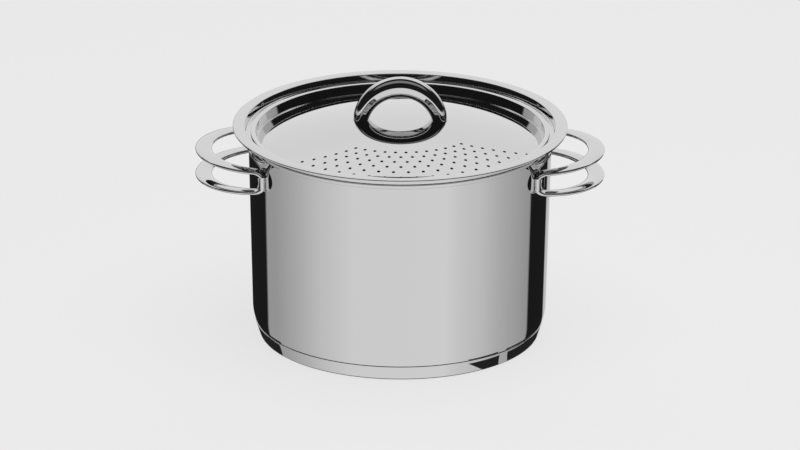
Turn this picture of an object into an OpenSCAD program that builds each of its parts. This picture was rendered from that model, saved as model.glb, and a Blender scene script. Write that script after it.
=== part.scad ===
// Pasta pot with a lift-out strainer insert and a straining lid, all in stainless steel.
// Millimetres, +Z up. The origin is the middle of the underside, where the pot stands.
// The two handles lie along X, and the perforated side of the lid faces -Y.

/* [Pot] */
// Outer radius of the wall at the rim
rim_r = 121.5; // [100:0.5:150]
// Outer radius of the wall where it starts to turn into the bottom
heel_top_r = 118.1; // [98:0.1:148]
// Height of the rim above the table
rim_z = 168.8; // [140:0.2:230]
// Thickness of the pot's wall and floor
pot_wall = 1; // [0.6:0.1:1.6]
// Height at which the wall starts to turn into the bottom
heel_z = 26; // [22:1:34]
// Radius of the slow upper curve of the heel
heel_r = 36; // [28:1:44]
// Radius of the tight lower curve of the heel
floor_turn_r = 8.8; // [5:0.2:12]
// Radius of the rolled bead along the rim
bead_r = 1.9; // [1.2:0.1:3]

/* [Base] */
// Height of the pot floor's underside above the table
floor_z = 6.6; // [5:0.2:9]
// Height of the base cap's upper edge
cap_h = 12.5; // [11:0.5:15]
// How far the cap stands proud of the wall
cap_proud = 0.5; // [0.2:0.1:1.2]
// Radius of the flat face that the pot stands on
foot_r = 109.8; // [85:0.2:140]
// Radius of the cap's lower edge
foot_edge_r = 3; // [2:0.25:4.5]
// Thickness of the cap's sheet
cap_sheet = 0.8; // [0.5:0.1:1.2]
// Height to which the aluminium fills the cap
fill_z = 9; // [8:0.25:10]

/* [Handles] */
// Half the distance between a handle's two roots
root_half = 51.9; // [35:0.5:65]
// Reach of a loop's middle line beyond its roots
loop_reach = 48; // [34:0.5:70]
// Width of the band at the outer end of a loop
band_end_w = 13.3; // [9:0.1:18]
// Width of the band at its roots
band_root_w = 10.4; // [8:0.1:15]
// Thickness of the band in the middle of its section
band_t = 3.8; // [2.5:0.1:5]
// Height of the upper loop's top face at the roots
upper_root_z = 155.2; // [120:0.2:160]
// Distance from the upper to the lower loop at the roots
loop_gap_root = 16.4; // [10:0.2:24]
// Rise of the upper loop from its roots to its end
upper_rise = 2.2; // [0:0.1:6]
// Drop of the lower loop from its roots to its end
lower_drop = 2.6; // [0:0.1:6]
// Radius of the bend that takes the strap down the wall to the lower loop
bend_r = 4.5; // [3.5:0.1:5.5]
// Width of the strap where it lies on the wall
web_w = 12; // [9:0.1:16]
// Thickness of the strap where it lies on the wall
web_t = 4.4; // [3:0.1:6]

/* [Strainer insert] */
// Outer radius of the flange that lies over the rim
flange_r = 133.9; // [128:0.1:160]
// Radius of the opening inside the flange
mouth_r = 124.3; // [105:0.1:152]
// Depth of the neck from the flange to the ledge
neck_h = 6; // [4:0.5:12]
// Thickness of the insert's sheet
insert_t = 0.9; // [0.6:0.1:1.2]
// Inner radius of the ledge, where the basket hangs
basket_r = 117; // [97:0.1:147]
// Inner radius of the basket at its floor
basket_floor_r = 111.8; // [90:0.1:142]
// Height of the basket's floor above the table
basket_floor_z = 22; // [16:1:60]
// Height of the plain skirt between the ledge and the perforated wall
skirt_h = 12; // [9:1:30]
// Radius of a strainer hole
strain_r = 2.8; // [1:0.1:3.2]
// Rows of strainer holes up the basket's wall
wall_rows = 7; // [3:1:10]
// Strainer holes in each row
wall_cols = 30; // [16:1:48]
// Rings of strainer holes in the basket's floor
floor_rings = 6; // [2:1:7]

/* [Lid] */
// Thickness of the lid's sheet
lid_t = 0.8; // [0.5:0.1:1.2]
// Outer radius of the lid's rim, which rests on the ledge
lid_rim_r = 119.6; // [100:0.1:150]
// Inner radius of the gutter's outer wall
gutter_r = 115.4; // [95:0.1:145]
// Radius where the dome meets the gutter
dome_edge_r = 113.4; // [93:0.1:143]
// Height of the dome's middle above its edge
dome_rise = 18.7; // [10:0.1:30]
// Depth of the gutter below the lid's rim
gutter_h = 8; // [5:0.1:12]
// Radius of a draining hole
drain_r = 1.3; // [0.6:0.05:1.6]
// Radius of the innermost row of draining holes
drain_first_r = 66.3; // [50:0.1:66.5]
// Distance between rows of draining holes
drain_row = 7; // [4:0.1:7.2]
// Rows of draining holes
drain_rows = 7; // [2:1:7]
// Holes in the innermost row, with one more in each row outwards
drain_first_n = 12; // [4:1:16]
// Angle between neighbouring holes of a row
drain_pitch = 7.2; // [5:0.05:8]
// Angle of the pattern's middle from the front
drain_turn = 7.7; // [-15:0.1:15]

/* [Knob] */
// Radius of the arch's middle line
arch_r = 31.8; // [29:0.1:38]
// Half of the arch's depth from front to back
arch_half_y = 8; // [6:0.1:12]
// Thickness of the arch at its crown
arch_crown_t = 15.8; // [10:0.1:17]
// Thickness of the arch at its feet
arch_foot_t = 11.8; // [11:0.1:14]
// Height of the arch's centre below the dome's middle
arch_drop = 5.6; // [3:0.1:7]
// Radius of the screws that hold the knob
screw_r = 2; // [1.5:0.1:2.5]
// Length of a screw above the lid
screw_reach = 7; // [4:0.5:12]

/* [Clearances] */
// Gap between seats that lift off each other
seat_gap = 0.3; // [0.1:0.05:0.6]
// Radial gap round a screw
screw_gap = 0.1; // [0.05:0.05:0.4]
// Gap where a flat washer lies under the curved lid
washer_gap = 0.06; // [0.05:0.01:0.2]
// Gap at the welds of the handles and at the knob's feet
weld_gap = 0.02; // [0.01:0.01:0.05]

/* [Hidden] */
$fn = 96;
steel = "#c9cccf";
steel_dark = "#aeb2b6";
aluminium = "#d8dadb";

// Heel of the pot: a slow arc and a tight one that meet tangentially and end on the floor.
heel_angle = asin((heel_z - floor_z - floor_turn_r) / (heel_r - floor_turn_r));
draft = atan((rim_r - heel_top_r) / (rim_z - heel_z));
heel_c = [heel_top_r - heel_r, heel_z];
turn_c = heel_c + (heel_r - floor_turn_r) * [cos(heel_angle), -sin(heel_angle)];
bead_sink = 0.7;

// Insert and lid levels, each from the seat below it.
ledge_under_z = rim_z + seat_gap;
ledge_z = ledge_under_z + insert_t;
flange_z = ledge_z + neck_h;
neck_draft = 0.8;
flange_edge_r = 0.8;
skirt_z = ledge_under_z - skirt_h;
lap_h = 4;
basket_side_h = skirt_z - basket_floor_z;
row_pitch = (basket_side_h - 24) / (wall_rows - 1);
ring_pitch = (basket_floor_r - 14) / (floor_rings + 0.5);
floor_lip_h = 5;
hole_margin = 2;

lid_rim_under = ledge_z + seat_gap;
lid_rim_z = lid_rim_under + lid_t;
gutter_z = lid_rim_z - gutter_h;
dome_r = (pow(dome_edge_r, 2) + pow(dome_rise, 2)) / (2 * dome_rise);
dome_c = gutter_z + dome_rise - dome_r;
dome_top = gutter_z + dome_rise;

screw_tilt = asin(arch_r / dome_r);
head_r = screw_r * 1.9;
head_h = screw_r * 1.1;
washer_r = head_r + 1.6;
washer_t = 1;
socket_r = screw_r * 0.75;

root_wall_r = wall_at(upper_root_z - loop_gap_root / 2);
root_x = sqrt(pow(root_wall_r, 2) - pow(root_half, 2));
root_angle = atan2(root_half, root_x);
web_sink = 0.3;
web_x = (root_wall_r + web_t / 2 - web_sink) * cos(root_angle);
loop_end = acos((web_x + bend_r - root_x) / loop_reach);
lower_root_z = upper_root_z - loop_gap_root;
loop_steps = 15;
bend_steps = 5;
lens_points = 12;
arch_steps = 30;
arch_points = 20;
arch_sweep = 98;

// Points along an arc about c, from angle a0 to a1, both ends included.
function arc(c, r, a0, a1, n) = [for (i = [0 : n])
    let (a = a0 + (a1 - a0) * i / n) c + r * [cos(a), sin(a)]];

// Outer radius of the drafted wall at height z.
function wall_at(z) = heel_top_r + (rim_r - heel_top_r) * (z - heel_z) / (rim_z - heel_z);

// Outline of the pot as a solid, each face moved inwards by d.
function pot_outline(d) = concat(
    [[0, rim_z + d * 4], [rim_r - d, rim_z + d * 4], [rim_r - d, rim_z]],
    arc(heel_c, heel_r - d, -draft, -heel_angle, 8),
    [for (i = [1 : 6]) arc(turn_c, floor_turn_r - d, -heel_angle, -90, 6)[i]],
    [[0, floor_z + d]]);

// Outline of the base cap as a solid, moved inwards by d and cut off at height top.
function base_outline(d, top) =
    let (cap_r = heel_c[0] + sqrt(pow(heel_r, 2) - pow(heel_z - cap_h, 2)) + cap_proud,
         edge = arc([foot_r, foot_edge_r], foot_edge_r - d, -90, -18, 5),
         last = edge[5],
         slope = (cap_r - d - last[0]) / (cap_h - last[1]))
    concat([[0, d]], edge, [[last[0] + slope * (top - last[1]), top], [0, top]]);

// One ring of a swept section: c is its middle, u and v its unit axes, a and b its half sizes.
// The power is 1 for an ellipse, and lower for a fuller, squarer section: p on the side that v
// points to, and q on the other.
function ring(c, u, v, a, b, n, p, q) = [for (j = [0 : n - 1])
    let (cs = cos(360 * j / n), sn = sin(360 * j / n), k = sn < 0 ? q : p)
    c + u * a * sign(cs) * pow(abs(cs), k) + v * b * sign(sn) * pow(abs(sn), k)];

// Triangles that join m rings of n points, closed by a flat face at each end.
function skin(m, n) = concat(
    [[for (j = [0 : n - 1]) j]],
    [for (i = [0 : m - 2], j = [0 : n - 1]) [i * n + j, (i + 1) * n + j, (i + 1) * n + (j + 1) % n]],
    [for (i = [0 : m - 2], j = [0 : n - 1]) [i * n + j, (i + 1) * n + (j + 1) % n, i * n + (j + 1) % n]],
    [[for (j = [n - 1 : -1 : 0]) (m - 1) * n + j]]);

// Skin of rings that close on themselves, as round a link of a chain.
function closed_skin(m, n) = [for (i = [0 : m - 1], j = [0 : n - 1])
    let (a = i * n, b = ((i + 1) % m) * n, k = (j + 1) % n)
    each [[a + j, b + j, b + k], [a + j, b + k, a + k]]];

// Point of a loop's middle line at angle t, on an ellipse about the roots.
function loop_point(t, root_z, end_z) =
    [root_x + loop_reach * cos(t), root_half * sin(t), root_z + (end_z - root_z) * cos(t) - band_t / 2];

// Direction across the band at angle t: square to the ellipse, and level.
function loop_across(t) = let (n = [cos(t) / loop_reach, sin(t) / root_half, 0]) n / norm(n);

// Ring of a loop, where up is 1 for the upper loop and -1 for the lower one, which runs back.
function loop_ring(t, root_z, end_z, up) =
    ring(loop_point(t, root_z, end_z), loop_across(t), [0, 0, -up],
        (band_root_w + (band_end_w - band_root_w) * cos(t)) / 2, band_t / 2, lens_points, 0.85, 0.85);

// Ring of the bend at angle q from level, which twists the strap to lie on the wall. The sign up is 1
// on the way down from the upper loop, and -1 where the same bend, turned over, meets the lower loop.
function bend_ring(q, up) =
    let (root_z = up > 0 ? upper_root_z : lower_root_z,
         rise = up > 0 ? upper_rise : -lower_drop,
         e = loop_point(loop_end, root_z, root_z + rise),
         t = [-loop_reach * sin(loop_end), root_half * cos(loop_end), 0],
         ahead = up * (t / norm(t)) * cos(q) - [0, 0, sin(q)],
         s = q / 90,
         k = s * s * (3 - 2 * s),
         from = atan2(loop_across(loop_end)[1], loop_across(loop_end)[0]),
         a = from + (90 + root_angle - from) * k,
         u = [cos(a), sin(a), 0],
         v = cross(ahead, u),
         root_w = band_root_w + (band_end_w - band_root_w) * cos(loop_end))
    ring(e + bend_r * (sin(q) * t / norm(t) + (cos(q) - 1) * [0, 0, up]), u, v / norm(v),
        (root_w + (web_w - root_w) * k) / 2, (band_t + (web_t - band_t) * k) / 2,
        lens_points, 0.85 - 0.3 * k, 0.85 - 0.3 * k);

// Rings of the strap from the upper loop's outer end to the lower loop's, on the +Y side.
half_strap = concat(
    [for (i = [0 : loop_steps])
        loop_ring(loop_end * i / loop_steps, upper_root_z, upper_root_z + upper_rise, 1)],
    [for (i = [1 : bend_steps]) bend_ring(90 * i / bend_steps, 1)],
    [for (i = [bend_steps : -1 : 1]) bend_ring(90 * i / bend_steps, -1)],
    [for (i = [loop_steps : -1 : 0])
        loop_ring(loop_end * i / loop_steps, lower_root_z, lower_root_z - lower_drop, -1)]);

// The whole strap: the half, and its mirror image run back, without the two rings they share.
function mirrored(rings) = [for (i = [len(rings) - 2 : -1 : 1]) [for (p = rings[i]) [p[0], -p[1], p[2]]]];
whole_strap = concat(half_strap, mirrored(half_strap));

// Ring of the knob's arch at angle t from the vertical: round outside, and squarer inside.
function arch_ring(t) =
    let (u = [sin(t), 0, cos(t)],
         b = arch_crown_t + (arch_foot_t - arch_crown_t) * pow(abs(t) / 90, 1.5))
    ring([0, 0, dome_top - arch_drop] + u * arch_r, [0, 1, 0], u, arch_half_y, b / 2, arch_points, 1, 0.5);

// The pot as a solid, a weld gap larger all round, from which the handles are cut off.
module pot_solid() {
    rotate_extrude($fn = 360) polygon(pot_outline(-weld_gap));
}

module pot_body() {
    color(steel) difference() {
        union() {
            rotate_extrude() polygon(pot_outline(0));
            rotate_extrude() translate([rim_r + bead_r - bead_sink, rim_z - bead_r]) circle(bead_r, $fn = 48);
        }
        rotate_extrude() polygon(pot_outline(pot_wall));
    }
}

module heat_spreader() {
    color(aluminium) rotate_extrude() difference() {
        polygon(base_outline(cap_sheet, fill_z));
        polygon(pot_outline(0));
    }
}

module base_cap() {
    color(steel) rotate_extrude() difference() {
        polygon(base_outline(0, cap_h));
        polygon(base_outline(cap_sheet, fill_z));
        polygon(pot_outline(0));
    }
}

module handle() {
    color(steel) difference() {
        polyhedron([for (r = whole_strap) each r], closed_skin(len(whole_strap), lens_points), convexity = 6);
        pot_solid();
    }
}

module right_handle() {
    handle();
}

module left_handle() {
    rotate([0, 0, 180]) handle();
}

module insert_rim() {
    color(steel) rotate_extrude() {
        // Flange with its rounded edge
        translate([flange_r - flange_edge_r, flange_z - flange_edge_r]) circle(flange_edge_r, $fn = 32);
        translate([mouth_r, flange_z - insert_t]) square([flange_r - flange_edge_r - mouth_r, insert_t]);
        // Neck, drawn in a little towards the ledge
        polygon([
            [mouth_r, flange_z], [mouth_r - neck_draft, ledge_z - 0.01],
            [mouth_r - neck_draft, ledge_under_z], [mouth_r - neck_draft + insert_t, ledge_under_z],
            [mouth_r + insert_t, flange_z]]);
        // Ledge and skirt
        translate([basket_r, ledge_under_z]) square([mouth_r - neck_draft + 0.2 - basket_r, insert_t]);
        translate([basket_r, skirt_z]) square([insert_t, skirt_h + insert_t]);
    }
}

// Basket wall as a drafted sheet, welded inside the skirt, with staggered rows of holes.
module insert_wall() {
    color(steel_dark) difference() {
        rotate_extrude() polygon([
            [basket_r - insert_t, skirt_z + lap_h], [basket_r, skirt_z + lap_h], [basket_r, skirt_z - 1],
            [basket_floor_r + insert_t, basket_floor_z], [basket_floor_r, basket_floor_z],
            [basket_r - insert_t, skirt_z - 1]]);
        for (row = [0 : wall_rows - 1], col = [0 : wall_cols - 1])
            rotate([0, 0, (col + (row % 2) / 2) * 360 / wall_cols])
                translate([basket_floor_r - 3, 0, basket_floor_z + 12 + row * row_pitch])
                    rotate([0, 90, 0]) cylinder(r = strain_r, h = basket_r - basket_floor_r + 8, $fn = 24);
    }
}

// Basket floor: a flat disc with a short upturned lip, welded inside the wall.
module insert_floor() {
    taper = (basket_r - insert_t - basket_floor_r) / (basket_side_h - 1);
    color(steel_dark) difference() {
        rotate_extrude() polygon([
            [0, basket_floor_z], [basket_floor_r, basket_floor_z],
            [basket_floor_r + taper * floor_lip_h, basket_floor_z + floor_lip_h],
            [basket_floor_r + taper * floor_lip_h - insert_t, basket_floor_z + floor_lip_h],
            [basket_floor_r - insert_t, basket_floor_z + insert_t], [0, basket_floor_z + insert_t]]);
        translate([0, 0, basket_floor_z - hole_margin])
            cylinder(r = strain_r, h = insert_t + 2 * hole_margin, $fn = 24);
        for (k = [1 : floor_rings], i = [0 : 6 * k - 1])
            rotate([0, 0, i * 60 / k]) translate([k * ring_pitch, 0, basket_floor_z - hole_margin])
                cylinder(r = strain_r, h = insert_t + 2 * hole_margin, $fn = 24);
    }
}

// Dome of the lid: the space between two spheres, cut off where the gutter begins.
module lid_dome() {
    intersection() {
        translate([0, 0, dome_c]) difference() {
            sphere(dome_r, $fn = 180);
            sphere(dome_r - lid_t, $fn = 180);
        }
        translate([0, 0, gutter_z - lid_t - 1]) cylinder(r = dome_edge_r, h = dome_rise + lid_t + 2);
    }
}

// Gutter round the dome, and the rim that rests on the ledge.
module lid_gutter() {
    rotate_extrude() polygon([
        [dome_edge_r - 0.3, gutter_z + 0.1], [gutter_r - 0.9, gutter_z - 0.25],
        [gutter_r - 0.2, gutter_z + 0.5], [gutter_r, lid_rim_z - 1], [gutter_r + 0.8, lid_rim_z],
        [lid_rim_r, lid_rim_z], [lid_rim_r, lid_rim_under], [gutter_r + 1.3, lid_rim_under],
        [gutter_r + 0.8, lid_rim_z - 1.4], [gutter_r + 0.6, gutter_z + 0.2],
        [gutter_r - 0.7, gutter_z - 1.05], [dome_edge_r - 0.3, gutter_z - 0.68]]);
}

// Puts its children at one of the knob's two screws, with Z square to the dome and zero on it.
module at_screw(side) {
    translate([0, 0, dome_c]) rotate([0, side * screw_tilt, 0]) translate([0, 0, dome_r]) children();
}

// Fan of draining holes: every row has one hole more than the row inside it.
module drain_holes() {
    for (row = [0 : drain_rows - 1], i = [0 : drain_first_n + row - 1])
        rotate([0, 0, drain_turn + (i - (drain_first_n + row - 1) / 2) * drain_pitch])
            translate([0, -(drain_first_r + row * drain_row), gutter_z - hole_margin])
                cylinder(r = drain_r, h = dome_rise + 2 * hole_margin, $fn = 24);
}

module lid_plate() {
    color(steel) difference() {
        union() {
            lid_dome();
            lid_gutter();
        }
        drain_holes();
        for (side = [-1, 1])
            at_screw(side) translate([0, 0, -lid_t - hole_margin])
                cylinder(r = screw_r + screw_gap, h = lid_t + 2 * hole_margin, $fn = 32);
    }
}

module knob() {
    rings = [for (i = [0 : arch_steps]) arch_ring(-arch_sweep + 2 * arch_sweep * i / arch_steps)];
    color(steel) difference() {
        polyhedron([for (r = rings) each r], skin(arch_steps + 1, arch_points), convexity = 4);
        translate([0, 0, dome_c]) sphere(dome_r + weld_gap, $fn = 360);
        for (side = [-1, 1])
            at_screw(side) translate([0, 0, -hole_margin])
                cylinder(r = screw_r + screw_gap, h = screw_reach + 1 + hole_margin, $fn = 32);
    }
}

module knob_screws() {
    head_z = -lid_t - washer_gap - washer_t;
    color(steel_dark) for (side = [-1, 1]) at_screw(side) difference() {
        union() {
            translate([0, 0, head_z]) cylinder(r = screw_r, h = screw_reach - head_z, $fn = 32);
            translate([0, 0, head_z - head_h]) cylinder(r = head_r, h = head_h, $fn = 48);
        }
        translate([0, 0, head_z - head_h - 1]) cylinder(r = socket_r, h = head_h * 0.6 + 1, $fn = 6);
    }
}

module knob_washers() {
    color(steel_dark) for (side = [-1, 1]) at_screw(side)
        translate([0, 0, -lid_t - washer_gap - washer_t]) difference() {
            cylinder(r = washer_r, h = washer_t, $fn = 48);
            translate([0, 0, -1]) cylinder(r = screw_r + screw_gap, h = washer_t + 2, $fn = 32);
        }
}

pot_body();
heat_spreader();
base_cap();
left_handle();
right_handle();
insert_rim();
insert_wall();
insert_floor();
lid_plate();
knob();
knob_screws();
knob_washers();
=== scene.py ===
"""Looks of a stainless steel pasta pot with a strainer insert and a domed straining lid.

The polished pieces are surfaces of revolution and sweeps worked out with numpy, because a mirror
finish shows every facet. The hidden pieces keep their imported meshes. Sizes are in millimetres and
become metres in the meshes; the camera and the lamp are placed in metres. +Z is up, the handles lie
along X and the front faces -Y. Where a size is a pair, it is a radius and a height, and a name that
ends in _C is a middle. Angles are in degrees unless a comment says otherwise.
"""
import math

import bmesh
import bpy
import numpy as np
from mathutils import Matrix, Vector


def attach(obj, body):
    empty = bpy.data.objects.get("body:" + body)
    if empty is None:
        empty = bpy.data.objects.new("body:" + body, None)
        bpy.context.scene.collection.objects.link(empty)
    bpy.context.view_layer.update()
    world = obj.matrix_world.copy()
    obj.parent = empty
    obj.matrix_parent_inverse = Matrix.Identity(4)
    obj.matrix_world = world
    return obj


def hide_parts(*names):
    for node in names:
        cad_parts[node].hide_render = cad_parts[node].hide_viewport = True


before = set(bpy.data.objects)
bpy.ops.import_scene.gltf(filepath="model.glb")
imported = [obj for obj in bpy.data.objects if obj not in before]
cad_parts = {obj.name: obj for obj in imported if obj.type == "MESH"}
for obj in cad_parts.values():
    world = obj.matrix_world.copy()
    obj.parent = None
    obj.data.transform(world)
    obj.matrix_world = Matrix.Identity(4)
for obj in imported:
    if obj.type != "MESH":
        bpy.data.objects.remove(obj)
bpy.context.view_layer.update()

MM = 0.001

# Pot: floor, a tight turn and a slow heel, drafted wall
WALL_T = 1.0
WALL_SLOPE = 3.4 / 142.8
WALL_FOOT_R, WALL_FOOT_Z = 118.09, 25.14
WALL_TOP_Z = 164.9
HEEL_C = np.array([82.1, 26.0])
HEEL_R = 36.0
TURN_R = 8.8
FLOOR_Z = 6.6

# The pot's rolled rim, round below and squarer above
RIM_Z = 168.8
RIM_INNER_R = 0.7
BEAD_R = 1.9
BEAD_MIDDLE_R = 122.7
BEAD_START = -125
BEAD_POWER = 0.4

# Pressed capsule under the pot
CAP_T = 0.8
CAP_FOOT_R = 109.8
CAP_EDGE_R = 3.0
CAP_EDGE_END = -17.7
CAP_LIP_C = (115.62, 12.2)
CAP_LIP_R = 0.34
CAP_LIP_SPAN = (-17, 150)
CAP_SEAT_SPAN = (-22.5, -28.0)
CAP_SEAT_GAP = 0.02
CAP_INNER_TOP = (111.9, 9.0)
CAP_INNER_FOOT_R = 109.4

# Handles: angles in radians, heights at the root line and at the outer end, and the band's section
ROOT_X, ROOT_Y = 109.28, 51.9
ROOT_TURN = math.radians(25.4)
LOOP_REACH = 48.0
LOOP_END = 1.438
UPPER_LOOP_Z = (153.3, 155.5)
LOWER_LOOP_Z = (136.9, 134.3)
BEND_R = 4.5
TWIST_SHARE = 0.36
BAND_WIDTH, LOOP_WIDER, WEB_WIDER = 10.4, 2.9, 1.6
BAND_T, WEB_THICKER = 3.8, 0.6
BAND_ROUND, WEB_SQUARER = 0.85, 0.3
BAND_AROUND = 40

# Strainer insert: flange, neck, ledge for the lid and skirt
INSERT_T = 0.9
FLANGE_R, FLANGE_Z = 133.88, 176.0
FLANGE_EDGE_DEEP, FLANGE_EDGE_IN_R = 1.8, 132.4
NECK_TOP_R, NECK_FOOT_R = 124.3, 123.5
LEDGE_Z = 170.0
SKIRT_R, SKIRT_Z = 117.0, 157.1

# Lid: dome, gutter, upright wall and rim
LID_T = 0.8
DOME_R = 353.19
DOME_TOP = 181.8
DOME_END_R = 112.6
DOME_UNDER_END_R = 112.0
DOME_UNDER_DEEP = 0.84
GUTTER_R, GUTTER_Z, GUTTER_UNDER_Z = 113.4, 163.1, 162.25
LID_WALL_FOOT, LID_WALL_TOP = (114.9, 162.9), (115.5, 170.95)
LID_WALL_OUT_FOOT, LID_WALL_OUT_TOP = (116.2, 162.1), (116.7, 170.25)
LID_RIM_R, LID_RIM_Z = 119.6, 171.5

# Draining holes, on a polar grid about the lid's axis
DRAIN_R = 1.3
DRAIN_SIDES = 24
DRAIN_ROWS = 7
DRAIN_FIRST_COUNT = 12
DRAIN_FIRST_R = 66.3
DRAIN_ROW_STEP = 7.0
DRAIN_STEP = 7.2
DRAIN_TURN = 7.7
DRAIN_CUT_Z = (158.0, 186.0)

# Which faces are the dome's and which the holes': within a radius, above a height, and by the cosine
# between the face's direction and the sphere's or the lid's axis
DOME_FIELD_R, DOME_FIELD_Z, DRAIN_FIELD_R = 112.7, 162.5, 110.0
NEARLY_ALONG, NEARLY_ACROSS = 0.97, 0.1

# Knob: an arch bent about a middle under the dome's top
ARCH_R = 31.8
ARCH_DROP = 5.6
ARCH_SPAN = 98
KNOB_HALF_WIDTH = 8.0
KNOB_CROWN_T, KNOB_FOOT_THINNER, KNOB_THIN_POWER = 15.8, 4.0, 1.5
KNOB_ROUND_OUTSIDE, KNOB_ROUND_INSIDE = 1.0, 0.5
KNOB_LEAN = 0.017
KNOB_AROUND = 64

# Steps round every surface of revolution, and the distances in millimetres under which points are one
AROUND = 288
MERGE, REPEAT = 2e-4, 1e-4

# Paper floor, and dark cards on it as angles from the front on the inner and the outer arc
PAPER = "#ebebeb"
FLOOR_HALF, FLOOR_DROP = 9000.0, 0.2
FLOOR_GLOW = 0.88
CARD_GREY = "#282828"
CARD_INNER_R, CARD_OUTER_R, CARD_Z = 112.0, 123.0, 0.1
CARD_STEPS = 16
FLOOR_CARDS = (((37, 45.2), (31.5, 49.2)), ((50.7, 80), (54.5, 80)), ((-80, -56), (-80, -63.2)))

# Greys of the studio that the steel mirrors, by angle in degrees
BLACK, WHITE, BRIGHT, UNDER_TABLE = 0.014, 0.935, 0.99, 0.03
TABLE_BANDS = ((-180, BLACK), (-126, BLACK), (-124, 0.43), (-110, 0.45), (-84, 0.607), (-64, 0.76),
               (-36, 0.91), (36, 0.93), (47, 0.84), (64, 0.76), (84, 0.6), (116, 0.43), (119, 0.42),
               (121, BLACK), (154, BLACK), (156, 0.6), (180, 0.6))
ROOM_BANDS = ((-180, WHITE), (-146, WHITE), (-144, 0.66), (-127, 0.6), (-125, BLACK), (125, BLACK),
              (127, 0.6), (144, 0.66), (146, WHITE), (180, WHITE))
STRIP_BANDS = ((0, BLACK), (58, BLACK), (63, 0.28), (88, 0.26), (92, BLACK), (116, BLACK), (121, BRIGHT),
               (180, WHITE))
CEILING_BANDS = ((0, BLACK), (116, BLACK), (121, BRIGHT), (180, WHITE))

# Where one part of the studio passes into the next, by one coordinate of a direction of length 1
STEEP_SPAN = (-0.66, -0.52)
HORIZON_SPAN = (-0.03, 0.03)
STRIP_END_SPAN = (0.6, 0.76)
CEILING_SPAN = (0.5, 0.62)

# Soft box and camera, in metres, and the photograph's frame in pixels
LAMP_SIZE, LAMP_POWER = 2.4, 60
LAMP_PLACE = Vector((0.3, -0.4, 2.4))
CAMERA_AIM = Vector((0, 0, 0.096))
CAMERA_AWAY, CAMERA_FAR = 6.0, 60
CAMERA_RISE, CAMERA_ROLL = math.radians(20.09), math.radians(0.3)
SENSOR = 36
PHOTO_WIDTH, PHOTO_HEIGHT = 800, 450
PHOTO_FOCAL = 7466
PHOTO_CENTRE_X, PHOTO_CENTRE_Y = 399.7, 218.1


# Materials

def linear(hex_colour):
    """sRGB hex colour to linear RGBA, as x / 12.92 up to 0.04045 and ((x + 0.055) / 1.055)^2.4 above."""
    c = np.array([int(hex_colour[i:i + 2], 16) for i in (1, 3, 5)]) / 255
    c = np.where(c <= 0.04045, c / 12.92, ((c + 0.055) / 1.055) ** 2.4)
    return (*c.tolist(), 1.0)


def add(tree, kind, settings=None, **links):
    """Adds a node. settings sets its properties and, by name or number, its inputs. links joins other
    nodes' sockets to its inputs, where n_2 stands for input number 2."""
    node = tree.nodes.new(kind)
    for key, value in (settings or {}).items():
        if isinstance(key, str) and hasattr(node, key):
            setattr(node, key, value)
        else:
            node.inputs[key].default_value = value
    for key, socket in links.items():
        tree.links.new(socket, node.inputs[int(key[2:]) if key.startswith("n_") else key])
    return node


def new_material(name):
    """An empty material and its node tree."""
    material = bpy.data.materials.new(name)
    material.use_nodes = True
    material.node_tree.nodes.clear()
    return material, material.node_tree


def polished_stainless():
    """18/10 stainless steel sheet, deep drawn, buffed to a mirror.

    The buff leaves hairlines far finer than a pixel, which only show as a roughness of a few
    hundredths. It varies as a faint haze in patches of about 45 mm, or 22 to the metre.
    """
    material, tree = new_material("mirror_polished_stainless_steel")
    place = add(tree, "ShaderNodeTexCoord")
    haze = add(tree, "ShaderNodeTexNoise", {"Scale": 22.0, "Detail": 2.0}, Vector=place.outputs["Object"])
    rough = add(tree, "ShaderNodeMapRange", {"To Min": 0.02, "To Max": 0.035}, Value=haze.outputs["Fac"])
    steel = add(tree, "ShaderNodeBsdfPrincipled", {"Metallic": 1.0, "Base Color": linear("#d2d2d2")},
                Roughness=rough.outputs["Result"])
    add(tree, "ShaderNodeOutputMaterial", None, Surface=steel.outputs["BSDF"])
    return material


def satin_stainless():
    """The same sheet left satin, for the basket inside the pot: fine brush lines run round it.

    The real lines are too fine to show. They are drawn about 1.1 mm high and 17 mm long, or 900 and
    60 to the metre, as coarse as they need to show.
    """
    material, tree = new_material("satin_brushed_stainless_steel")
    place = add(tree, "ShaderNodeTexCoord")
    stretch = add(tree, "ShaderNodeMapping", {"Scale": (60.0, 60.0, 900.0)}, Vector=place.outputs["Object"])
    lines = add(tree, "ShaderNodeTexNoise", {"Scale": 1.0, "Detail": 3.0}, Vector=stretch.outputs["Vector"])
    rough = add(tree, "ShaderNodeMapRange", {"To Min": 0.22, "To Max": 0.36}, Value=lines.outputs["Fac"])
    bump = add(tree, "ShaderNodeBump", {"Strength": 0.08, "Distance": 0.0002}, Height=lines.outputs["Fac"])
    steel = add(tree, "ShaderNodeBsdfPrincipled", {"Metallic": 1.0, "Base Color": linear("#c6c6c5")},
                Roughness=rough.outputs["Result"], Normal=bump.outputs["Normal"])
    add(tree, "ShaderNodeOutputMaterial", None, Surface=steel.outputs["BSDF"])
    return material


def rolled_aluminium():
    """Plain rolled aluminium, for the disc inside the base: matt, with a slightly blotchy oxide in
    patches of about 17 mm, or 60 to the metre."""
    material, tree = new_material("rolled_aluminium")
    place = add(tree, "ShaderNodeTexCoord")
    oxide = add(tree, "ShaderNodeTexNoise", {"Scale": 60.0, "Detail": 3.0}, Vector=place.outputs["Object"])
    rough = add(tree, "ShaderNodeMapRange", {"To Min": 0.38, "To Max": 0.5}, Value=oxide.outputs["Fac"])
    metal = add(tree, "ShaderNodeBsdfPrincipled", {"Metallic": 1.0, "Base Color": linear("#dcddde")},
                Roughness=rough.outputs["Result"])
    add(tree, "ShaderNodeOutputMaterial", None, Surface=metal.outputs["BSDF"])
    return material


POLISHED = polished_stainless()
SATIN = satin_stainless()
ALUMINIUM = rolled_aluminium()


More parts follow.
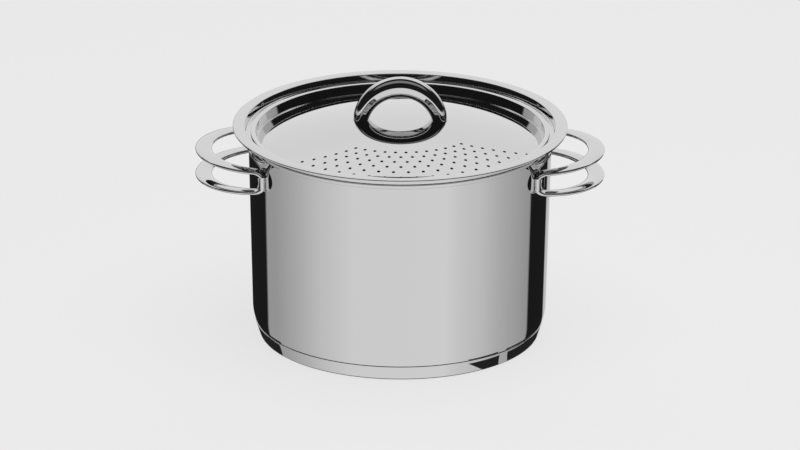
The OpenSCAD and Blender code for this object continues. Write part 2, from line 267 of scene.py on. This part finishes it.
# Mesh helpers

def grid_faces(rows, cols, wrap_rows, wrap_cols):
    """Quads of a grid whose point (i, j) has the number i * cols + j, closed on itself where asked."""
    i = np.arange(rows if wrap_rows else rows - 1)
    j = np.arange(cols if wrap_cols else cols - 1)
    i, j = np.meshgrid(i, j, indexing="ij")
    i2, j2 = (i + 1) % rows, (j + 1) % cols
    quads = np.stack([i * cols + j, i2 * cols + j, i2 * cols + j2, i * cols + j2], -1)
    return quads.reshape(-1, 4).tolist()


def new_object(name, points, faces):
    """Links an object with a mesh from points in millimetres and lists of point numbers."""
    mesh = bpy.data.meshes.new(name)
    mesh.from_pydata((np.reshape(points, (-1, 3)) * MM).tolist(), [], faces)
    made = bpy.data.objects.new(name, mesh)
    bpy.context.scene.collection.objects.link(made)
    return made


def new_piece(name, points, faces, body, node):
    """Makes a closed, smooth piece of polished steel that rides on a body and stands for a node."""
    piece = new_object(name, points, faces)
    tidy = bmesh.new()
    tidy.from_mesh(piece.data)
    bmesh.ops.remove_doubles(tidy, verts=tidy.verts, dist=MERGE * MM)
    bmesh.ops.recalc_face_normals(tidy, faces=tidy.faces)
    tidy.to_mesh(piece.data)
    tidy.free()
    piece.data.shade_smooth()
    piece.data.materials.append(POLISHED)
    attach(piece, body)
    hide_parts(node)
    return piece


def single(points):
    """Drops points that repeat the one before."""
    points = np.asarray(points, float)
    keep = np.ones(len(points), bool)
    keep[1:] = np.linalg.norm(np.diff(points, axis=0), axis=1) > REPEAT
    return points[keep]


def rounded(corners, steps=6):
    """Outline through corners (r, z, radius): each corner becomes an arc that touches both sides.

    The arc's points come from turning the vector from its centre to the first touching point
    towards the second one by equal angles. A radius of zero keeps the corner.
    """
    corners = np.asarray(corners, float)
    tiny, nearly_one = 1e-12, 0.9999999
    p, rad = corners[:, :2], corners[:, 2:3]
    to_prev = np.roll(p, 1, 0) - p
    to_next = np.roll(p, -1, 0) - p
    to_prev /= np.linalg.norm(to_prev, axis=1, keepdims=True) + tiny
    to_next /= np.linalg.norm(to_next, axis=1, keepdims=True) + tiny
    half = np.arccos(np.clip((to_prev * to_next).sum(1, keepdims=True), -nearly_one, nearly_one)) / 2
    middle = to_prev + to_next
    middle /= np.linalg.norm(middle, axis=1, keepdims=True) + tiny
    centre = p + middle * rad / np.sin(half)
    first = p + to_prev * rad / np.tan(half) - centre
    second = p + to_next * rad / np.tan(half) - centre
    span = np.pi - 2 * half
    s = np.linspace(0, 1, steps + 1)[None, :, None]
    span, first, second = span[:, None], first[:, None], second[:, None]
    arc = (np.sin((1 - s) * span) * first + np.sin(s * span) * second) / np.sin(span)
    return single((centre[:, None] + arc).reshape(-1, 2))


def arc_points(centre, radius, start, end, steps):
    """Points centre + radius * (cos a, sin a), with a from start to end in degrees."""
    a = np.radians(np.linspace(start, end, steps))
    return np.stack([centre[0] + radius * np.cos(a), centre[1] + radius * np.sin(a)], -1)


def turned(name, outline, body, node, closed=False):
    """Surface of revolution: (r cos a, r sin a, z) for each outline point and each angle a. An outline
    that isn't closed starts and ends on the axis."""
    a = np.linspace(0, 2 * np.pi, AROUND, endpoint=False)[:, None]
    r, z = outline[:, 0][None, :], outline[:, 1][None, :]
    points = np.stack([r * np.cos(a), r * np.sin(a), z + 0 * a], -1)
    return new_piece(name, points, grid_faces(AROUND, len(outline), True, closed), body, node)


def swept(path, across, wide, thick, over, under, around, closed=False):
    """Rings of a band along a path: path + across * x + up * y on the superellipse
    |x / wide|^(2/f) + |y / thick|^(2/f) = 1, where up is square to the path and to across, and f is
    over on the upper side and under on the lower one."""
    if closed:
        ahead = np.roll(path, -1, 0) - np.roll(path, 1, 0)
    else:
        ahead = np.gradient(path, axis=0)
    ahead /= np.linalg.norm(ahead, axis=1, keepdims=True)
    up = np.cross(ahead, across)
    up /= np.linalg.norm(up, axis=1, keepdims=True)
    a = np.linspace(0, 2 * np.pi, around, endpoint=False)[None, :]
    f = np.where(np.sin(a) < 0, under[:, None], over[:, None])
    x = np.sign(np.cos(a)) * np.abs(np.cos(a)) ** f * wide[:, None]
    y = np.sign(np.sin(a)) * np.abs(np.sin(a)) ** f * thick[:, None]
    return path[:, None] + across[:, None] * x[..., None] + up[:, None] * y[..., None]


# Pot

def wall_r(z, inset=0.0):
    """Radius of the drafted wall at a height, less an inset."""
    return WALL_FOOT_R + WALL_SLOPE * (z - WALL_FOOT_Z) - inset


def heel(inset):
    """Right half of the pot's underside, from the drafted wall down to the flat floor: a slow arc that
    touches the wall, then a tight one that touches the floor and the slow one."""
    turn = math.asin((HEEL_C[1] - FLOOR_Z - TURN_R) / (HEEL_R - TURN_R))
    turn_c = HEEL_C + (HEEL_R - TURN_R) * np.array([math.cos(turn), -math.sin(turn)])
    lean = math.degrees(math.atan(WALL_SLOPE))
    slow = arc_points(HEEL_C, HEEL_R - inset, -lean, -math.degrees(turn), steps=14)
    tight = arc_points(turn_c, TURN_R - inset, -math.degrees(turn), -90, steps=12)
    return np.concatenate([slow, tight[1:]])


def make_pot():
    """Outline of the drawn pot: underside, wall, rolled bead at the rim, inner wall and inner floor.

    The bead is its middle + radius * (cos a, sin a), where above its middle both are raised to a
    power below 1, which makes it squarer.
    """
    z = np.linspace(WALL_FOOT_Z, WALL_TOP_Z, num=24)
    outer = np.concatenate([heel(0.0)[::-1], np.stack([wall_r(z), z], -1)[1:]])
    turn = np.linspace(BEAD_START, 90, num=44)[:, None]
    bead = np.cos(np.radians(turn - [0, 90]))
    bead = np.sign(bead) * np.abs(bead) ** np.where(turn > 0, BEAD_POWER, 1.0)
    bead = np.array([BEAD_MIDDLE_R, RIM_Z - BEAD_R]) + BEAD_R * bead
    rim_c = (wall_r(RIM_Z, WALL_T) + RIM_INNER_R, RIM_Z - RIM_INNER_R)
    rim = arc_points(rim_c, RIM_INNER_R, 90, 180, steps=6)
    z = np.linspace(RIM_Z - 2 * RIM_INNER_R, WALL_FOOT_Z, num=20)
    inner = np.concatenate([np.stack([wall_r(z, WALL_T), z], -1), heel(WALL_T)[1:]])
    outline = single(np.concatenate([[[0, FLOOR_Z]], outer, bead, rim, inner, [[0, FLOOR_Z + WALL_T]]]))
    turned("pot_shell", outline, "pot", "pot_body")


def make_base():
    """Outline of the pressed capsule: flat foot, round edge, leaning side and a rolled lip that stands
    proud of the pot, then a seat along the pot's heel and the inner face back to the middle."""
    edge = arc_points((CAP_FOOT_R, CAP_EDGE_R), CAP_EDGE_R, -90, CAP_EDGE_END, steps=12)
    lip = arc_points(CAP_LIP_C, CAP_LIP_R, *CAP_LIP_SPAN, steps=10)
    seat = arc_points(HEEL_C, HEEL_R + CAP_SEAT_GAP, *CAP_SEAT_SPAN, steps=4)
    inner = [CAP_INNER_TOP, (CAP_INNER_FOOT_R, CAP_T), (0, CAP_T)]
    outline = single(np.concatenate([[[0, 0]], edge, lip, seat, inner]))
    turned("base_shell", outline, "pot", "base_cap")


# Handles

def loop(heights, sense):
    """Half an ellipse, reach * cos t out from the root line and root_y * sin t along it, which goes from
    the first height at the root line to the second at its outer end.

    Returns its points, the directions square to it on the outside, and cos t. A sense of -1 runs
    it backwards.
    """
    t = np.linspace(-LOOP_END, LOOP_END, num=90)
    swell, s = np.cos(t), np.sin(t)
    rise = heights[0] + (heights[1] - heights[0]) * swell
    line = np.stack([ROOT_X + LOOP_REACH * swell, ROOT_Y * s, rise], -1)
    out = np.stack([swell / LOOP_REACH, s / ROOT_Y, 0 * s], -1)
    out /= np.linalg.norm(out, axis=1, keepdims=True)
    return line[::sense], out[::sense], swell[::sense]


def bend(end, out, low, sense):
    """Line from the upper loop's end down to the height of the lower one: a quarter turn, a straight web
    and a quarter turn, on which the strap twists to lie on the wall and back.

    Returns its points, the directions across the strap, and the twist, which is 3 u^2 - 2 u^3 of
    the way u from either end to where the twist is complete.
    """
    tangent = np.array([-LOOP_REACH * math.sin(LOOP_END), sense * ROOT_Y * math.cos(LOOP_END), 0])
    tangent /= np.linalg.norm(tangent)
    q = np.radians(np.linspace(0, 90, num=12))[1:, None]
    down = end + BEND_R * (np.sin(q) * tangent + (np.cos(q) - 1) * np.array([0, 0, 1]))
    heights = np.linspace(end[2] - BEND_R, low + BEND_R, num=7)[1:-1, None]
    web = np.hstack([np.tile(down[-1, :2], (len(heights), 1)), heights])
    up = down[::-1] * [1, 1, -1] + [0, 0, end[2] + low]
    line = np.concatenate([down, web, up])
    u = np.linspace(0, 1, len(line))
    twist = np.clip(np.minimum(u, 1 - u) / TWIST_SHARE, 0, 1)
    twist = twist * twist * (3 - 2 * twist)
    start = math.atan2(out[1], out[0])
    angle = start + (sense * (math.pi / 2 + ROOT_TURN) - start) * twist
    return line, np.stack([np.cos(angle), np.sin(angle), 0 * angle], -1), twist


def make_handle(sense, name, node):
    """One strap swept round a closed line, so that both loops are a single piece: the upper loop, a bend
    down at the wall, the lower loop back, and a bend up again. The left handle is the right one
    turned round, with x and y times -1."""
    upper, across_upper, swell_upper = loop(UPPER_LOOP_Z, 1)
    lower, across_lower, swell_lower = loop(LOWER_LOOP_Z, -1)
    down, across_down, twist_down = bend(upper[-1], across_upper[-1], lower[0, 2], 1)
    up, across_up, twist_up = bend(upper[0], across_upper[0], lower[-1, 2], -1)
    line = np.concatenate([upper, down, lower, up[::-1]]) * [sense, sense, 1]
    across = np.concatenate([across_upper, across_down, across_lower, across_up[::-1]]) * [sense, sense, 1]
    at_wall = np.full(len(down), swell_upper[-1])
    swell = np.concatenate([swell_upper, at_wall, swell_lower, at_wall])
    twist = np.concatenate([0 * swell_upper, twist_down, 0 * swell_lower, twist_up[::-1]])
    wide = (BAND_WIDTH + LOOP_WIDER * swell + WEB_WIDER * twist) / 2
    thick = (BAND_T + WEB_THICKER * twist) / 2
    full = BAND_ROUND - WEB_SQUARER * twist
    rings = swept(line, across, wide, thick, full, full, BAND_AROUND, closed=True)
    new_piece(name, rings, grid_faces(len(line), BAND_AROUND, True, True), "pot", node)


# Strainer insert

def make_insert_rim():
    """Outline of the insert's rim: rounded flange, neck, ledge for the lid, and the skirt below it. Each
    corner is a radius, a height and how far it is rounded."""
    outline = rounded([
        (FLANGE_R, FLANGE_Z, 0.7),
        (FLANGE_R, FLANGE_Z - FLANGE_EDGE_DEEP, 0.3),
        (FLANGE_EDGE_IN_R, FLANGE_Z - FLANGE_EDGE_DEEP, 0.6),
        (NECK_TOP_R + INSERT_T, FLANGE_Z - INSERT_T, 0.6),
        (NECK_FOOT_R + INSERT_T, LEDGE_Z - INSERT_T, 0.9),
        (SKIRT_R + INSERT_T, LEDGE_Z - INSERT_T, 0.2),
        (SKIRT_R + INSERT_T, SKIRT_Z, 0.3),
        (SKIRT_R, SKIRT_Z, 0.3),
        (SKIRT_R, LEDGE_Z, 1.0),
        (NECK_FOOT_R, LEDGE_Z, 0.9),
        (NECK_TOP_R, FLANGE_Z, 0.7)])
    turned("insert_flange", outline, "insert", "insert_rim", closed=True)


# Lid

def dome(radius, start, end, steps):
    """Points of the domed sheet between two radii, on a sphere about the lid's axis."""
    r = np.linspace(start, end, steps)
    return np.stack([r, DOME_TOP - DOME_R + np.sqrt(radius ** 2 - r ** 2)], -1)


def drain_cutter():
    """Closed prisms, one through each hole: middles (r sin a, -r cos a), where r grows by a step from
    row to row and a by a step from hole to hole. Each row has one hole more than the last."""
    rows = np.repeat(np.arange(DRAIN_ROWS), DRAIN_FIRST_COUNT + np.arange(DRAIN_ROWS))
    holes = np.concatenate([np.arange(DRAIN_FIRST_COUNT + row) for row in range(DRAIN_ROWS)])
    turn = np.radians(DRAIN_TURN + DRAIN_STEP * (holes - (DRAIN_FIRST_COUNT + rows - 1) / 2))
    r = DRAIN_FIRST_R + DRAIN_ROW_STEP * rows
    a = np.linspace(0, 2 * np.pi, DRAIN_SIDES, endpoint=False)
    ring = DRAIN_R * np.stack([np.cos(a), np.sin(a)], -1)
    points = np.zeros((len(rows), 2, DRAIN_SIDES, 3))
    points[..., :2] = np.stack([r * np.sin(turn), -r * np.cos(turn)], -1)[:, None, None] + ring
    points[..., 2] = np.array(DRAIN_CUT_Z)[None, :, None]
    one = np.arange(DRAIN_SIDES)
    two = (one + 1) % DRAIN_SIDES
    side = np.stack([one, two, DRAIN_SIDES + two, DRAIN_SIDES + one], -1)
    start = np.arange(len(rows))[:, None] * 2 * DRAIN_SIDES
    faces = (side[None] + start[..., None]).reshape(-1, 4).tolist()
    faces += (one[::-1] + start).tolist() + (DRAIN_SIDES + one + start).tolist()
    return new_object("hole_cutter", points, faces)


def drill(lid):
    """Cuts the draining holes out of the lid and puts the result into its mesh."""
    cutter = drain_cutter()
    modifier = lid.modifiers.new("drain_holes", "BOOLEAN")
    modifier.operation, modifier.object, modifier.solver = "DIFFERENCE", cutter, "EXACT"
    bpy.context.view_layer.update()
    drilled = bpy.data.meshes.new_from_object(lid.evaluated_get(bpy.context.evaluated_depsgraph_get()))
    lid.modifiers.clear()
    whole, cutter_mesh = lid.data, cutter.data
    lid.data = drilled
    bpy.data.meshes.remove(whole)
    bpy.data.objects.remove(cutter)
    bpy.data.meshes.remove(cutter_mesh)


def read(items, name, width, kind=float):
    """One property of a mesh's items as an array, with width numbers for each item."""
    values = np.zeros(len(items) * width, kind)
    items.foreach_get(name, values)
    return values.reshape(-1, width)


def true_dome(mesh):
    """Gives each corner of the dome the sphere's own direction, so that the holes leave no dents in the
    reflections round them, and each corner of a hole's wall the direction of its face."""
    place = read(mesh.vertices, "co", 3)[read(mesh.loops, "vertex_index", 1, int)[:, 0]]
    sides = read(mesh.polygons, "loop_total", 1, int)[:, 0]
    flat = np.repeat(read(mesh.polygons, "normal", 3), sides, axis=0)
    smooth = read(mesh.corner_normals, "vector", 3)
    ray = place - [0, 0, (DOME_TOP - DOME_R) * MM]
    ray /= np.linalg.norm(ray, axis=1, keepdims=True)
    along = (flat * ray).sum(1, keepdims=True)
    r = np.hypot(place[:, :1], place[:, 1:2])
    on_dome = (np.abs(along) > NEARLY_ALONG) & (r < DOME_FIELD_R * MM) & (place[:, 2:] > DOME_FIELD_Z * MM)
    in_hole = (np.abs(flat[:, 2:]) < NEARLY_ACROSS) & (r < DRAIN_FIELD_R * MM)
    normals = np.where(in_hole, flat, np.where(on_dome, ray * np.sign(along), smooth))
    mesh.normals_split_custom_set(normals.tolist())


def make_lid():
    """Outline of the lid: dome, gutter, upright wall and rim, and the same line back underneath. Each
    corner of the edge is a radius, a height and how far it is rounded."""
    top = dome(DOME_R, 0, DOME_END_R, steps=60)
    edge = rounded([
        (*top[-1], 0),
        (GUTTER_R, GUTTER_Z, 0.8),
        (*LID_WALL_FOOT, 0.7),
        (*LID_WALL_TOP, 0.6),
        (LID_RIM_R, LID_RIM_Z, 0.3),
        (LID_RIM_R, LID_RIM_Z - LID_T, 0.3),
        (*LID_WALL_OUT_TOP, 0.5),
        (*LID_WALL_OUT_FOOT, 1.2),
        (GUTTER_R, GUTTER_UNDER_Z, 0.8),
        (DOME_END_R, top[-1, 1] - DOME_UNDER_DEEP, 0)])
    under = dome(DOME_R - LID_T, DOME_UNDER_END_R, 0, steps=50)
    outline = single(np.concatenate([top, edge[1:-1], under]))
    lid = turned("lid_sheet", outline, "lid", "lid_plate")
    drill(lid)
    true_dome(lid.data)


# Knob

def make_knob():
    """The arch: a bar bent to a circle about a middle under the dome's top, which thins towards its feet
    by a power of the angle from the crown. Its section is round outside and squarer inside, and
    its sides lean out in step with the depth inside the circle."""
    t = np.radians(np.linspace(-ARCH_SPAN, ARCH_SPAN, num=140))
    arch_z = DOME_TOP - ARCH_DROP
    path = np.stack([ARCH_R * np.sin(t), 0 * t, arch_z + ARCH_R * np.cos(t)], -1)
    across = np.zeros_like(path)
    across[:, 1] = 1
    wide = KNOB_HALF_WIDTH + 0 * t
    thick = (KNOB_CROWN_T - KNOB_FOOT_THINNER * (np.abs(t) / (math.pi / 2)) ** KNOB_THIN_POWER) / 2
    outside, inside = KNOB_ROUND_OUTSIDE + 0 * t, KNOB_ROUND_INSIDE + 0 * t
    rings = swept(path, across, wide, thick, outside, inside, KNOB_AROUND)
    inward = np.maximum(ARCH_R - np.hypot(rings[..., 0], rings[..., 2] - arch_z), 0)
    rings[..., 1] *= 1 + KNOB_LEAN * inward
    one = np.arange(KNOB_AROUND)
    ends = [one[::-1].tolist(), (one + (len(t) - 1) * KNOB_AROUND).tolist()]
    new_piece("knob_arch", rings, grid_faces(len(t), KNOB_AROUND, False, True) + ends, "lid", "knob")


make_pot()
make_base()
for sense, side in ((1, "right"), (-1, "left")):
    make_handle(sense, f"{side}_strap", f"{side}_handle")
make_insert_rim()
make_lid()
make_knob()

for material, nodes in (
        (ALUMINIUM, ["heat_spreader"]),
        (SATIN, ["insert_wall", "insert_floor", "knob_screws", "knob_washers"]),
        (POLISHED, ["pot_body", "base_cap", "left_handle", "right_handle"]),
        (POLISHED, ["insert_rim", "lid_plate", "knob"])):
    for node in nodes:
        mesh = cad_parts[node].data
        mesh.materials.clear()
        mesh.materials.append(material)


# Floor, light and camera

def make_floor():
    """Plain pale paper floor, lit evenly from below like a light table, with a faint shadow on top."""
    material, tree = new_material("pale_paper")
    paper = add(tree, "ShaderNodeBsdfDiffuse", {"Color": linear(PAPER)})
    glow = add(tree, "ShaderNodeEmission", {"Color": linear(PAPER), "Strength": 1.0})
    mixed = add(tree, "ShaderNodeMixShader", {0: FLOOR_GLOW}, n_1=paper.outputs["BSDF"],
                n_2=glow.outputs["Emission"])
    add(tree, "ShaderNodeOutputMaterial", None, Surface=mixed.outputs["Shader"])
    corners = [(x * FLOOR_HALF, y * FLOOR_HALF, -FLOOR_DROP) for x, y in ((-1, -1), (1, -1), (1, 1), (-1, 1))]
    floor = new_object("paper_floor", corners, [(0, 1, 2, 3)])
    floor.data.materials.append(material)
    floor.visible_glossy = False


def make_floor_card(inner, outer):
    """Dark card on the floor against the foot, which only the steel mirrors: points (r sin a, -r cos a)
    on two arcs, each with its own first and last angle from the front."""
    a = np.radians(np.stack([np.linspace(*inner, CARD_STEPS), np.linspace(*outer, CARD_STEPS)]))
    r = np.array([[CARD_INNER_R], [CARD_OUTER_R]])
    points = np.stack([r * np.sin(a), -r * np.cos(a), 0 * a + CARD_Z], -1)
    material, tree = new_material("black_card")
    card = add(tree, "ShaderNodeEmission", {"Color": linear(CARD_GREY), "Strength": 1.0})
    add(tree, "ShaderNodeOutputMaterial", None, Surface=card.outputs["Emission"])
    piece = new_object("floor_card", points, grid_faces(2, CARD_STEPS, False, False))
    piece.data.materials.append(material)
    piece.visible_camera = False
    piece.visible_diffuse = False
    piece.visible_shadow = False


def make_world():
    """Studio round the pot, as greys by direction.

    Below the horizon is a pale table that falls off towards the sides, with black flags behind it.
    Above the horizon the room is black on the camera's side and white behind. Overhead is a black
    ceiling with one dim strip light across it, and white at the back. The camera itself sees plain
    paper. Of a Mix node, input 0 is the share of its second colour, inputs 6 and 7 are the two
    colours, and output 2 is the result.
    """
    world = bpy.data.worlds.new("studio")
    bpy.context.scene.world = world
    world.use_nodes = True
    tree = world.node_tree
    tree.nodes.clear()

    # Angles of a direction: round the pot from the front, and over it from the front to the back.
    place = add(tree, "ShaderNodeTexCoord").outputs["Generated"]
    axes = add(tree, "ShaderNodeSeparateXYZ", None, Vector=place).outputs
    front = add(tree, "ShaderNodeMath", {"operation": "MULTIPLY", 1: -1.0}, n_0=axes["Y"]).outputs[0]
    around = add(tree, "ShaderNodeMath", {"operation": "ARCTAN2"}, n_0=axes["X"], n_1=front)
    over = add(tree, "ShaderNodeMath", {"operation": "ARCTAN2"}, n_0=axes["Z"], n_1=front)

    # The direction in which a mirror's face looks is the ray that leaves it less the one that comes down
    # to it from the camera. The table's bands go by twice the turn of that face from the front, so
    # they run straight down the wall and round its heel.
    coming = (0, math.cos(CAMERA_RISE), -math.sin(CAMERA_RISE))
    change = add(tree, "ShaderNodeVectorMath", {"operation": "SUBTRACT", 1: coming}, n_0=place)
    square = add(tree, "ShaderNodeVectorMath", {"operation": "NORMALIZE"}, n_0=change.outputs[0])
    face = add(tree, "ShaderNodeSeparateXYZ", None, Vector=square.outputs[0]).outputs
    fore = add(tree, "ShaderNodeMath", {"operation": "MULTIPLY", 1: -1.0}, n_0=face["Y"]).outputs[0]
    faced = add(tree, "ShaderNodeMath", {"operation": "ARCTAN2"}, n_0=face["X"], n_1=fore)

    # The first and last degrees of each list of bands stand for low and high, in radians.
    greys = []
    for bands, angle, low, high in (
            (TABLE_BANDS, faced, -math.pi / 2, math.pi / 2),
            (ROOM_BANDS, around, -math.pi, math.pi),
            (STRIP_BANDS, over, 0, math.pi),
            (CEILING_BANDS, over, 0, math.pi)):
        share = add(tree, "ShaderNodeMapRange", {"From Min": low, "From Max": high}, Value=angle.outputs[0])
        ramp = add(tree, "ShaderNodeValToRGB", None, Fac=share.outputs["Result"])
        elements = ramp.color_ramp.elements
        first, last = bands[0][0], bands[-1][0]
        for degrees, grey in bands:
            at = (degrees - first) / (last - first)
            element = elements[-int(at)] if at in (0, 1) else elements.new(at)
            element.color = (grey, grey, grey, 1)
        greys.append(ramp.outputs["Color"])
    table, room, strip, ceiling = greys

    # Shares that rise from 0 to 1: from faces that look steeply down, which mirror the dark under the
    # table's edge, to all others; from below the horizon to above it; from the strip light to the
    # ceiling beside it; and from the room to what is overhead.
    aside = add(tree, "ShaderNodeMath", {"operation": "ABSOLUTE"}, n_0=axes["X"])
    shares = []
    for value, (low, high) in (
            (face["Z"], STEEP_SPAN),
            (axes["Z"], HORIZON_SPAN),
            (aside.outputs[0], STRIP_END_SPAN),
            (axes["Z"], CEILING_SPAN)):
        step = add(tree, "ShaderNodeMapRange",
                   {"interpolation_type": "SMOOTHSTEP", "From Min": low, "From Max": high}, Value=value)
        shares.append(step.outputs["Result"])
    level, above, beside, overhead = shares

    colours = {"data_type": "RGBA"}
    dark = {6: (UNDER_TABLE, UNDER_TABLE, UNDER_TABLE, 1)}
    below = add(tree, "ShaderNodeMix", colours | dark, n_0=level, n_7=table)
    walls = add(tree, "ShaderNodeMix", colours, n_0=above, n_6=below.outputs[2], n_7=room)
    cover = add(tree, "ShaderNodeMix", colours, n_0=beside, n_6=strip, n_7=ceiling)
    whole = add(tree, "ShaderNodeMix", colours, n_0=overhead, n_6=walls.outputs[2], n_7=cover.outputs[2])

    studio = add(tree, "ShaderNodeBackground", {"Strength": 1.0}, Color=whole.outputs[2])
    pale = add(tree, "ShaderNodeBackground", {"Color": linear(PAPER), "Strength": 1.0})
    ray = add(tree, "ShaderNodeLightPath")
    shown = add(tree, "ShaderNodeMixShader", None, n_0=ray.outputs["Is Camera Ray"],
                n_1=studio.outputs[0], n_2=pale.outputs[0])
    add(tree, "ShaderNodeOutputWorld", None, Surface=shown.outputs[0])


def make_lamp():
    """A square soft box overhead that lights the paper round the pot but isn't mirrored."""
    lamp = bpy.data.lights.new("soft_box_above", "AREA")
    lamp.size, lamp.energy = LAMP_SIZE, LAMP_POWER
    soft_box = bpy.data.objects.new("soft_box_above", lamp)
    bpy.context.scene.collection.objects.link(soft_box)
    soft_box.location = LAMP_PLACE
    soft_box.rotation_euler = (-LAMP_PLACE).to_track_quat("-Z", "Y").to_euler()
    soft_box.visible_glossy = False


def make_camera():
    """Long lens far away and well above the table, rolled a little about its own axis. Its length and
    shift follow from the photograph's focal length and optical centre in pixels."""
    camera = bpy.data.cameras.new("camera")
    camera.sensor_width = SENSOR
    camera.lens = PHOTO_FOCAL / PHOTO_WIDTH * SENSOR
    camera.shift_x = (PHOTO_WIDTH / 2 - PHOTO_CENTRE_X) / PHOTO_WIDTH
    camera.shift_y = (PHOTO_CENTRE_Y - PHOTO_HEIGHT / 2) / PHOTO_WIDTH
    camera.clip_end = CAMERA_FAR
    seen = bpy.data.objects.new("camera", camera)
    bpy.context.scene.collection.objects.link(seen)
    seen.location = CAMERA_AIM + CAMERA_AWAY * Vector((0, -math.cos(CAMERA_RISE), math.sin(CAMERA_RISE)))
    turn = (CAMERA_AIM - seen.location).to_track_quat("-Z", "Y").to_matrix()
    seen.rotation_euler = (turn @ Matrix.Rotation(CAMERA_ROLL, 3, "Z")).to_euler()
    bpy.context.scene.camera = seen


make_floor()
for inner, outer in FLOOR_CARDS:
    make_floor_card(inner, outer)
make_world()
make_lamp()
make_camera()
bpy.context.scene.view_settings.view_transform = "Standard"
